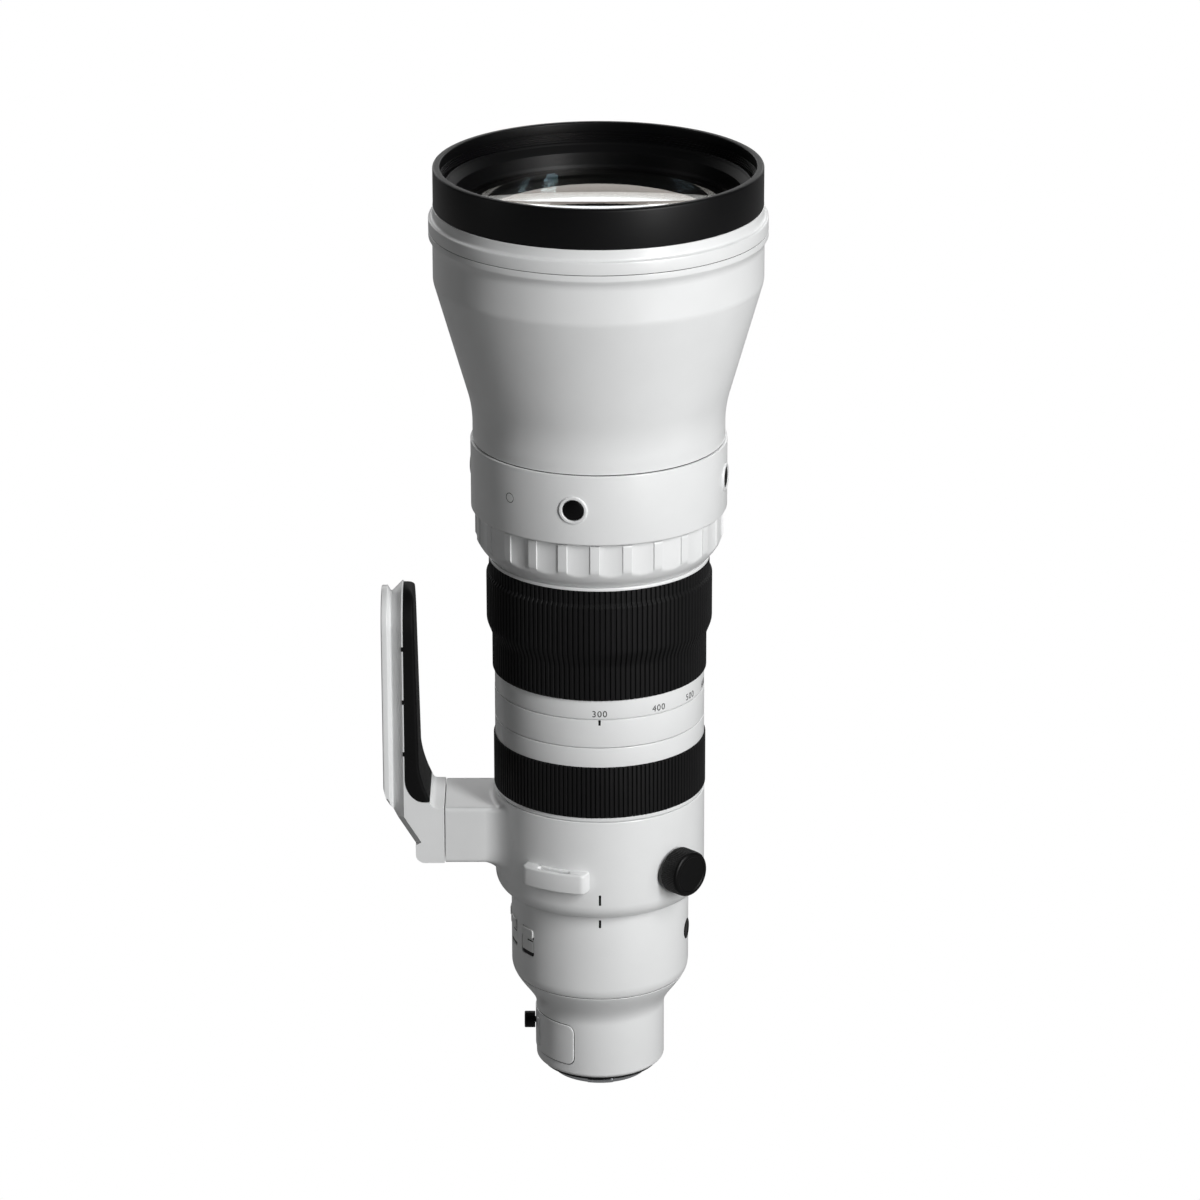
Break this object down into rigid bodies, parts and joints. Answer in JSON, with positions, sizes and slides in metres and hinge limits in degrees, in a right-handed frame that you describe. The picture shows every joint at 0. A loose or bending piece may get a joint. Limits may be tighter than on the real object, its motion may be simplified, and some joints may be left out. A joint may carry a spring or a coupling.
{
  "type": "camera zoom lens",
  "caption": "White super-telephoto zoom lens with a wide bell front, ribbed black zoom and focus grips, fluted ring, tripod collar with dovetail foot and a drop-in filter drawer.",
  "frame": {"origin": "on the optical axis at the face of the mount flange", "axes": "+Z along the optical axis towards the subject, -X towards the tripod foot"},
  "size_m": [0.1895, 0.164, 0.4739],
  "materials": {
    "white_metal": "fine satin white paint on metal",
    "white_plastic": "satin white moulded plastic",
    "black_metal": "matte black paint on metal",
    "black_plastic": "matte black moulded plastic",
    "black_rubber": "moulded black rubber",
    "inner_metal": "turned aluminium",
    "steel": "ground steel",
    "mount_chrome": "brushed chrome on brass",
    "contact_gold": "gold-plated contact",
    "board_green": "solder mask on a circuit board",
    "coated_glass": "multi-coated optical glass"
  },
  "bodies": {
    "barrel": {"front_ring": "black_metal", "hood_flange_ring": "white_metal", "front_barrel": "white_metal", "front_cell": "black_metal", "front_baffle": "black_metal", "front_element": "coated_glass", "second_element": "coated_glass", "control_band": "white_metal", "button_bezels": "white_metal", "main_tube": "inner_metal", "index_barrel": "white_metal", "rear_barrel": "white_metal", "rear_tube": "white_metal", "mount_plate": "mount_chrome", "mount_gasket": "black_rubber", "mount_screws": "steel", "contact_block": "black_plastic", "contact_pins": "contact_gold", "rear_element": "coated_glass", "main_board": "board_green", "guide_rods": "steel", "focus_motor": "black_plastic", "iris_housing": "black_plastic", "iris_blades": "black_metal", "side_plug": "black_rubber"},
    "zoom_ring": {"zoom_ring": "white_metal", "zoom_grip": "black_rubber", "cam_barrel": "inner_metal", "drive_pins": "steel"},
    "variator": {"variator_cell": "black_plastic", "variator_lens": "coated_glass"},
    "compensator": {"compensator_cell": "black_plastic", "compensator_lens": "coated_glass"},
    "function_ring": {"function_ring": "white_metal"},
    "focus_ring": {"focus_ring": "white_metal", "focus_grip": "black_rubber"},
    "focus_group": {"focus_cell": "black_plastic", "focus_lens": "coated_glass"},
    "stabiliser_frame": {"stabiliser_frame": "black_plastic"},
    "stabiliser": {"stabiliser_cell": "black_plastic", "stabiliser_lens": "coated_glass"},
    "collar": {"collar": "white_metal", "strap_lugs": "white_metal", "foot": "white_metal", "foot_pad": "black_rubber", "foot_screws": "steel"},
    "clamp_knob": {"clamp_knob": "black_plastic"},
    "clamp_shoe": {"clamp_shoe": "black_plastic"},
    "filter_drawer": {"filter_drawer": "white_metal", "filter_glass": "coated_glass"},
    "filter_knob": {"filter_knob": "black_plastic"},
    "hold_button_1": {"hold_button_1": "black_plastic"},
    "switch_slider_1": {"switch_slider_1": "white_plastic"},
    "hold_button_2": {"hold_button_2": "black_plastic"},
    "switch_slider_2": {"switch_slider_2": "white_plastic"},
    "hold_button_3": {"hold_button_3": "black_plastic"},
    "switch_slider_3": {"switch_slider_3": "white_plastic"},
    "hold_button_4": {"hold_button_4": "black_plastic"},
    "switch_slider_4": {"switch_slider_4": "white_plastic"}
  },
  "joints": [
    {"name": "zoom_turn", "type": "hinge", "parent": "barrel", "child": "zoom_ring", "pos_m": [0, 0, 0.2364], "axis": [0, 0, 1], "range_deg": [-80, 0]},
    {"name": "variator_slide", "type": "slide", "parent": "barrel", "child": "variator", "axis": [0, 0, 1], "range_m": [-0.04, 0]},
    {"name": "compensator_slide", "type": "slide", "parent": "barrel", "child": "compensator", "axis": [0, 0, 1], "range_m": [0, 0.02]},
    {"name": "function_turn", "type": "hinge", "parent": "barrel", "child": "function_ring", "pos_m": [0, 0, 0.283], "axis": [0, 0, 1], "range_deg": [-12, 12], "stiffness_Nm_per_rad": 0.6},
    {"name": "focus_turn", "type": "hinge", "parent": "barrel", "child": "focus_ring", "pos_m": [0, 0, 0.167], "axis": [0, 0, 1], "continuous": true},
    {"name": "focus_slide", "type": "slide", "parent": "barrel", "child": "focus_group", "axis": [0, 0, 1], "range_m": [-0.018, 0.002]},
    {"name": "stabiliser_shift_x", "type": "slide", "parent": "barrel", "child": "stabiliser_frame", "axis": [1, 0, 0], "range_m": [-0.001, 0.001], "stiffness_N_per_m": 400},
    {"name": "stabiliser_shift_y", "type": "slide", "parent": "stabiliser_frame", "child": "stabiliser", "axis": [0, 1, 0], "range_m": [-0.001, 0.001], "stiffness_N_per_m": 400},
    {"name": "collar_turn", "type": "hinge", "parent": "barrel", "child": "collar", "pos_m": [0, 0, 0.121], "axis": [0, 0, 1], "continuous": true},
    {"name": "clamp_turn", "type": "hinge", "parent": "collar", "child": "clamp_knob", "pos_m": [0.04172, -0.04172, 0.117], "axis": [0.7071, -0.7071, 0], "range_deg": [0, 270]},
    {"name": "clamp_press", "type": "slide", "parent": "collar", "child": "clamp_shoe", "axis": [0.7071, -0.7071, 0], "range_m": [0, 0.00075]},
    {"name": "drawer_slide", "type": "slide", "parent": "barrel", "child": "filter_drawer", "axis": [-1, 0, 0], "range_m": [0, 0.06]},
    {"name": "drawer_knob_turn", "type": "hinge", "parent": "filter_drawer", "child": "filter_knob", "pos_m": [-0.0355, 0, 0.0183], "axis": [-1, 0, 0], "range_deg": [0, 90]},
    {"name": "hold_press_1", "type": "slide", "parent": "barrel", "child": "hold_button_1", "axis": [0.2079, 0.9781, 0], "range_m": [0, 0.0008], "stiffness_N_per_m": 700},
    {"name": "hold_press_2", "type": "slide", "parent": "barrel", "child": "hold_button_2", "axis": [-0.9781, 0.2079, 0], "range_m": [0, 0.0008], "stiffness_N_per_m": 700},
    {"name": "hold_press_3", "type": "slide", "parent": "barrel", "child": "hold_button_3", "axis": [-0.2079, -0.9781, 0], "range_m": [0, 0.0008], "stiffness_N_per_m": 700},
    {"name": "hold_press_4", "type": "slide", "parent": "barrel", "child": "hold_button_4", "axis": [0.9781, -0.2079, 0], "range_m": [0, 0.0008], "stiffness_N_per_m": 700},
    {"name": "switch_slide_1", "type": "slide", "parent": "barrel", "child": "switch_slider_1", "axis": [0, 0, -1], "range_m": [0, 0.0015]},
    {"name": "switch_slide_2", "type": "slide", "parent": "barrel", "child": "switch_slider_2", "axis": [0, 0, -1], "range_m": [0, 0.0015]},
    {"name": "switch_slide_3", "type": "slide", "parent": "barrel", "child": "switch_slider_3", "axis": [0, 0, -1], "range_m": [0, 0.0015]},
    {"name": "switch_slide_4", "type": "slide", "parent": "barrel", "child": "switch_slider_4", "axis": [0, 0, -1], "range_m": [0, 0.0015]}
  ],
  "couplings": [
    {"joint": "variator_slide", "follows": "zoom_turn", "m_per_rad": 0.028648},
    {"joint": "compensator_slide", "follows": "zoom_turn", "m_per_rad": -0.014324}
  ]
}
